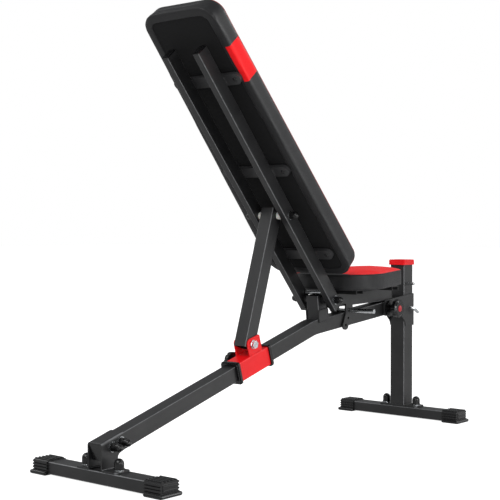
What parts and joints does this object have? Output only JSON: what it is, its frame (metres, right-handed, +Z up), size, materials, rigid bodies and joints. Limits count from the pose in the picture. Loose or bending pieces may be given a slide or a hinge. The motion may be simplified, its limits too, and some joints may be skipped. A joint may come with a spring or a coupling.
{
  "type": "adjustable weight bench",
  "caption": "Adjustable weight bench: bent beam on two feet, hinged backrest held by a prop on a pinned slider, hinged seat and a front post.",
  "frame": {"origin": "on the floor, midway between the two feet, on the centre plane", "axes": "+X from the rear foot towards the front post, +Y across the bench towards the slider's knob, +Z up"},
  "size_m": [1.2998, 0.42, 1.1189],
  "materials": {
    "black_powder_coat": "fine-textured satin powder coat",
    "red_powder_coat": "satin powder coat",
    "black_plastic": "moulded",
    "red_plastic": "moulded",
    "zinc_plate": "bright zinc plate",
    "black_vinyl": "PVC-coated upholstery cloth, grained, over foam",
    "red_vinyl": "PVC-coated upholstery cloth, grained, over foam",
    "white_nylon": "turned",
    "covered_plywood": "plywood under black cloth"
  },
  "bodies": {
    "frame": {"rear_foot_tube": "black_powder_coat", "front_foot_tube": "black_powder_coat", "rear_foot_caps": "black_plastic", "front_foot_caps": "black_plastic", "rear_bracket": "black_powder_coat", "bracket_bolts": "zinc_plate", "foot_bolts": "zinc_plate", "frame_cap_nuts": "black_plastic", "frame_washers": "zinc_plate", "main_beam": "black_powder_coat", "beam_end_plug": "black_plastic", "pivot_post": "black_powder_coat", "pivot_post_gussets": "black_powder_coat", "rest_rod": "zinc_plate", "pivot_bolt": "zinc_plate", "pivot_spacers": "white_nylon", "front_post": "black_powder_coat", "front_base_plate": "black_powder_coat", "front_bracket": "black_powder_coat", "post_cap": "red_plastic", "front_knob_base": "black_plastic"},
    "slider": {"slider_sleeve": "red_powder_coat", "slider_collars": "black_plastic", "prop_foot_bolt": "zinc_plate", "prop_foot_nut": "zinc_plate", "slider_knob_base": "black_plastic"},
    "slider_pull": {"slider_knob": "black_plastic", "slider_knob_cap": "red_plastic", "slider_plunger": "zinc_plate"},
    "front_pull": {"front_knob": "black_plastic", "front_knob_cap": "red_plastic", "front_plunger": "zinc_plate"},
    "backrest": {"left_rail": "black_powder_coat", "right_rail": "black_powder_coat", "cross_straps": "black_powder_coat", "rail_plugs": "black_plastic", "backrest_board": "covered_plywood", "backrest_pad": "black_vinyl", "prop_top_bolt": "zinc_plate", "backrest_cap_nuts": "black_plastic", "backrest_washers": "zinc_plate", "prop_spacers": "white_nylon"},
    "prop": {"prop_tube": "black_powder_coat"},
    "seat": {"seat_frame": "black_powder_coat", "seat_tube_plug": "black_plastic", "seat_channels": "black_powder_coat", "seat_board": "covered_plywood", "seat_pad": "red_vinyl"},
    "seat_lock": {"seat_pin": "zinc_plate"},
    "upper_lock": {"upper_pin": "zinc_plate"},
    "front_lock": {"lock_pin": "zinc_plate"}
  },
  "joints": [
    {"name": "backrest_hinge", "type": "hinge", "parent": "frame", "child": "backrest", "pos_m": [0.187, 0, 0.379], "axis": [0, 1, 0], "range_deg": [-24, 11]},
    {"name": "slider_slide", "type": "slide", "parent": "frame", "child": "slider", "axis": [0.9603, 0, 0.279], "range_m": [-0.185, 0.085]},
    {"name": "prop_hinge", "type": "hinge", "parent": "backrest", "child": "prop", "pos_m": [-0.01297, 0, 0.60903], "axis": [0, 1, 0], "range_deg": [-19, 41]},
    {"name": "seat_hinge", "type": "hinge", "parent": "frame", "child": "seat", "pos_m": [0.187, 0, 0.379], "axis": [0, -1, 0], "range_deg": [0, 21]},
    {"name": "seat_pin_slide", "type": "slide", "parent": "seat", "child": "seat_lock", "axis": [0, -1, 0], "range_m": [0, 0.07]},
    {"name": "front_pull_slide", "type": "slide", "parent": "frame", "child": "front_pull", "axis": [0, -1, 0], "range_m": [0, 0.012], "stiffness_N_per_m": 900, "springref_m": -0.012},
    {"name": "slider_pull_slide", "type": "slide", "parent": "slider", "child": "slider_pull", "axis": [0, 1, 0], "range_m": [0, 0.012], "stiffness_N_per_m": 900, "springref_m": -0.012},
    {"name": "upper_pin_slide", "type": "slide", "parent": "frame", "child": "upper_lock", "axis": [0, -1, 0], "range_m": [0, 0.08]},
    {"name": "front_lock_slide", "type": "slide", "parent": "frame", "child": "front_lock", "axis": [0, -1, 0], "range_m": [0, 0.08]}
  ],
  "couplings": [
    {"joint": "slider_slide", "follows": "backrest_hinge", "m_per_rad": 0.43978},
    {"joint": "prop_hinge", "follows": "backrest_hinge", "ratio": -1.6934}
  ]
}
